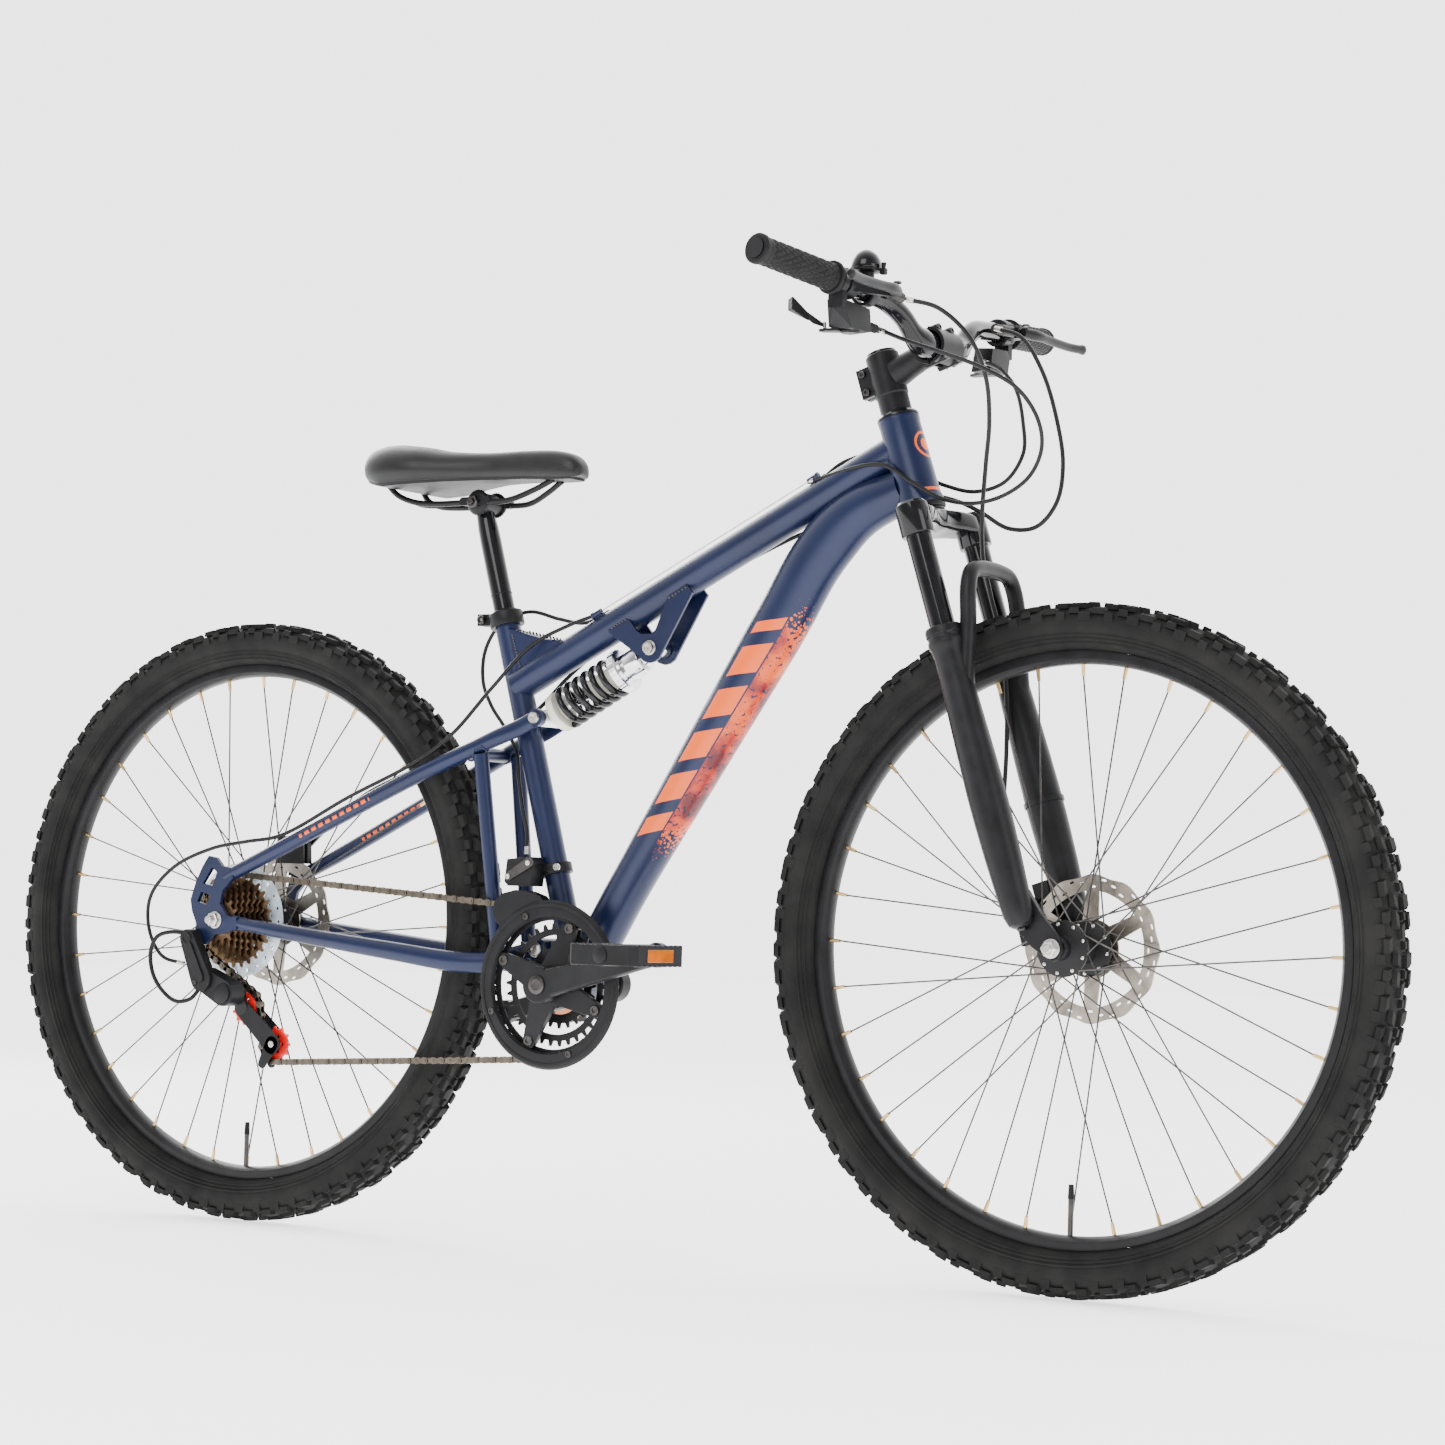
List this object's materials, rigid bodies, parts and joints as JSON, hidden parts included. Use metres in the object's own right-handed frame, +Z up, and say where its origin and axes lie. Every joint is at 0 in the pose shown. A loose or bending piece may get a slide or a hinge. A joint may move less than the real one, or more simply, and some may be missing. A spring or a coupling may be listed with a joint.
{
  "type": "mountain bicycle",
  "caption": "Full-suspension mountain bike with coil-shock rear swingarm, telescopic fork, disc brakes, derailleur gears, riser bar and vinyl saddle.",
  "frame": {"origin": "on the ground, halfway between the two tyres' contact points", "axes": "+X towards the front wheel, +Y to the rider's left (the drive side is -Y), +Z up"},
  "size_m": [1.868, 0.6612, 1.1068],
  "materials": {
    "navy_paint": "navy blue satin metallic paint",
    "satin_black": "satin black paint",
    "gloss_black": "gloss black paint",
    "steel": "bare and plated steel",
    "chrome": "polished chrome",
    "brown_steel": "brown oxide steel",
    "cable_black": "black cable housing",
    "grip_rubber": "knurled black rubber",
    "vinyl": "smooth black vinyl cover",
    "tyre": "black rubber tread, satin sidewall",
    "resin": "moulded black resin",
    "red_resin": "red moulded resin"
  },
  "bodies": {
    "frame": {"head_tube": "navy_paint", "top_tube": "navy_paint", "down_tube": "navy_paint", "seat_tube": "navy_paint", "shock_bracket": "navy_paint", "seat_clamp": "satin_black", "front_derailleur_body": "satin_black", "bottom_bracket": "steel", "rear_brake_cable": "cable_black", "rear_shift_cable": "cable_black", "front_shift_cable": "cable_black", "chain": "steel"},
    "front_derailleur": {"front_derailleur_cage": "satin_black"},
    "seatpost": {"seatpost": "gloss_black"},
    "saddle": {"saddle_cover": "vinyl", "saddle_rails": "satin_black"},
    "steering": {"fork_crown": "gloss_black", "handlebar": "gloss_black", "bell": "gloss_black", "stem": "satin_black", "grip_right": "grip_rubber", "grip_left": "grip_rubber", "controls_right": "resin", "controls_left": "resin", "front_brake_cable": "cable_black"},
    "bell_striker": {"bell_striker": "steel"},
    "brake_lever_right": {"brake_lever_right": "satin_black"},
    "brake_lever_left": {"brake_lever_left": "satin_black"},
    "shift_paddle_right": {"shift_paddle_right": "resin"},
    "shift_paddle_left": {"shift_paddle_left": "resin"},
    "fork_lower": {"fork_lowers": "satin_black", "front_caliper": "satin_black", "front_axle": "steel"},
    "front_brake_arm": {"front_brake_arm": "steel"},
    "front_wheel": {"front_tyre": "tyre", "front_rim": "satin_black", "front_hub": "satin_black", "front_rotor": "steel"},
    "swingarm": {"chainstays": "navy_paint", "seatstays": "navy_paint", "rear_axle": "steel", "rear_caliper": "satin_black"},
    "rear_brake_arm": {"rear_brake_arm": "steel"},
    "rear_wheel": {"rear_tyre": "tyre", "rear_rim": "satin_black", "rear_hub": "satin_black", "rear_rotor": "steel"},
    "freewheel": {"freewheel": "brown_steel"},
    "rear_derailleur": {"rear_derailleur_body": "resin"},
    "derailleur_cage": {"rear_derailleur_cage": "resin"},
    "guide_pulley": {"guide_pulley": "red_resin"},
    "tension_pulley": {"tension_pulley": "red_resin"},
    "crank": {"crank_right": "resin", "crank_left": "resin", "chainrings": "satin_black"},
    "pedal_right": {"pedal_right": "resin"},
    "pedal_left": {"pedal_left": "resin"},
    "shock_body": {"shock_body": "chrome", "shock_spring": "gloss_black"},
    "shock_shaft": {"shock_shaft": "chrome"}
  },
  "joints": [
    {"name": "steer", "type": "hinge", "parent": "frame", "child": "steering", "pos_m": [0.349, 0, 0.8944], "axis": [-0.309, 0, 0.9511], "range_deg": [-60, 60], "deforming": ["rear_brake_cable", "rear_shift_cable", "front_shift_cable"]},
    {"name": "fork_slide", "type": "slide", "parent": "steering", "child": "fork_lower", "axis": [-0.309, 0, 0.9511], "range_m": [0, 0.06], "stiffness_N_per_m": 9000, "springref_m": -0.004, "deforming": ["front_brake_cable"]},
    {"name": "front_wheel_spin", "type": "hinge", "parent": "fork_lower", "child": "front_wheel", "pos_m": [0.566, 0, 0.368], "axis": [0, 1, 0], "continuous": true},
    {"name": "front_brake_pull", "type": "hinge", "parent": "fork_lower", "child": "front_brake_arm", "pos_m": [0.48496, 0.057, 0.39182], "axis": [0, 1, 0], "range_deg": [-20, 20]},
    {"name": "brake_lever_right_pull", "type": "hinge", "parent": "steering", "child": "brake_lever_right", "pos_m": [0.41153, -0.148, 1.05707], "axis": [0, 0, -1], "range_deg": [0, 18], "stiffness_Nm_per_rad": 0.6, "springref_deg": -17.19},
    {"name": "brake_lever_left_pull", "type": "hinge", "parent": "steering", "child": "brake_lever_left", "pos_m": [0.41153, 0.148, 1.05707], "axis": [0, 0, 1], "range_deg": [0, 18], "stiffness_Nm_per_rad": 0.6, "springref_deg": -17.19},
    {"name": "shift_paddle_right_push", "type": "hinge", "parent": "steering", "child": "shift_paddle_right", "pos_m": [0.33617, -0.168, 1.02143], "axis": [0, 0, 1], "range_deg": [0, 25], "stiffness_Nm_per_rad": 0.2, "springref_deg": -11.46},
    {"name": "shift_paddle_left_push", "type": "hinge", "parent": "steering", "child": "shift_paddle_left", "pos_m": [0.33617, 0.168, 1.02143], "axis": [0, 0, -1], "range_deg": [0, 25], "stiffness_Nm_per_rad": 0.2, "springref_deg": -11.46},
    {"name": "bell_striker_flick", "type": "hinge", "parent": "steering", "child": "bell_striker", "pos_m": [0.3918, -0.136, 1.0778], "axis": [0, 1, 0], "range_deg": [0, 25], "stiffness_Nm_per_rad": 0.05, "springref_deg": -5.73},
    {"name": "rear_swing", "type": "hinge", "parent": "frame", "child": "swingarm", "pos_m": [-0.112, 0, 0.346], "axis": [0, 1, 0], "range_deg": [0, 8], "stiffness_Nm_per_rad": 2600, "springref_deg": -1.72, "deforming": ["rear_brake_cable", "rear_shift_cable", "chain"]},
    {"name": "rear_wheel_spin", "type": "hinge", "parent": "swingarm", "child": "rear_wheel", "pos_m": [-0.566, 0, 0.368], "axis": [0, 1, 0], "continuous": true},
    {"name": "freewheel_spin", "type": "hinge", "parent": "swingarm", "child": "freewheel", "pos_m": [-0.566, 0, 0.368], "axis": [0, 1, 0], "continuous": true},
    {"name": "rear_brake_pull", "type": "hinge", "parent": "swingarm", "child": "rear_brake_arm", "pos_m": [-0.541, 0.062, 0.462], "axis": [0, 1, 0], "range_deg": [-20, 20]},
    {"name": "rear_derailleur_swing", "type": "hinge", "parent": "swingarm", "child": "rear_derailleur", "pos_m": [-0.596, -0.08, 0.345], "axis": [0, 1, 0], "range_deg": [0, 12], "stiffness_Nm_per_rad": 3, "springref_deg": -17.19, "deforming": ["rear_shift_cable", "chain"]},
    {"name": "derailleur_cage_swing", "type": "hinge", "parent": "rear_derailleur", "child": "derailleur_cage", "pos_m": [-0.547, -0.05, 0.28], "axis": [0, 1, 0], "range_deg": [-30, 12], "stiffness_Nm_per_rad": 1.2, "springref_deg": 28.65, "deforming": ["chain"]},
    {"name": "crank_spin", "type": "hinge", "parent": "frame", "child": "crank", "pos_m": [-0.074, 0, 0.307], "axis": [0, 1, 0], "continuous": true},
    {"name": "guide_pulley_spin", "type": "hinge", "parent": "derailleur_cage", "child": "guide_pulley", "pos_m": [-0.543, -0.036, 0.262], "axis": [0, 1, 0], "continuous": true},
    {"name": "tension_pulley_spin", "type": "hinge", "parent": "derailleur_cage", "child": "tension_pulley", "pos_m": [-0.494, -0.036, 0.22], "axis": [0, 1, 0], "continuous": true},
    {"name": "pedal_right_spin", "type": "hinge", "parent": "crank", "child": "pedal_right", "pos_m": [0.09144, -0.09, 0.34611], "axis": [0, 1, 0], "continuous": true},
    {"name": "pedal_left_spin", "type": "hinge", "parent": "crank", "child": "pedal_left", "pos_m": [-0.23944, 0.09, 0.26789], "axis": [0, 1, 0], "continuous": true},
    {"name": "front_derailleur_shift", "type": "slide", "parent": "frame", "child": "front_derailleur", "axis": [0, 1, 0], "range_m": [0, 0.013], "stiffness_N_per_m": 200, "springref_m": -0.01, "deforming": ["front_shift_cable", "chain"]},
    {"name": "seatpost_slide", "type": "slide", "parent": "frame", "child": "seatpost", "axis": [-0.2714, 0, 0.9625], "range_m": [-0.08, 0.06]},
    {"name": "saddle_tilt", "type": "hinge", "parent": "seatpost", "child": "saddle", "pos_m": [-0.228, 0, 0.872], "axis": [0, 1, 0], "range_deg": [-10, 10]},
    {"name": "shock_pivot", "type": "hinge", "parent": "frame", "child": "shock_body", "pos_m": [0.0227, 0, 0.695], "axis": [0, -1, 0], "range_deg": [0, 9]},
    {"name": "shock_slide", "type": "slide", "parent": "shock_body", "child": "shock_shaft", "axis": [0.8806, 0, 0.4738], "range_m": [0, 0.036], "deforming": ["shock_spring"]}
  ],
  "couplings": [
    {"joint": "freewheel_spin", "follows": "crank_spin", "ratio": 1.5},
    {"joint": "guide_pulley_spin", "follows": "crank_spin", "ratio": -3.8636},
    {"joint": "tension_pulley_spin", "follows": "crank_spin", "ratio": 3.8636},
    {"joint": "shock_pivot", "follows": "rear_swing", "ratio": 0.9621},
    {"joint": "shock_slide", "follows": "rear_swing", "m_per_rad": 0.22585},
    {"joint": "front_brake_pull", "follows": "brake_lever_right_pull", "ratio": 1},
    {"joint": "rear_brake_pull", "follows": "brake_lever_left_pull", "ratio": 1}
  ]
}
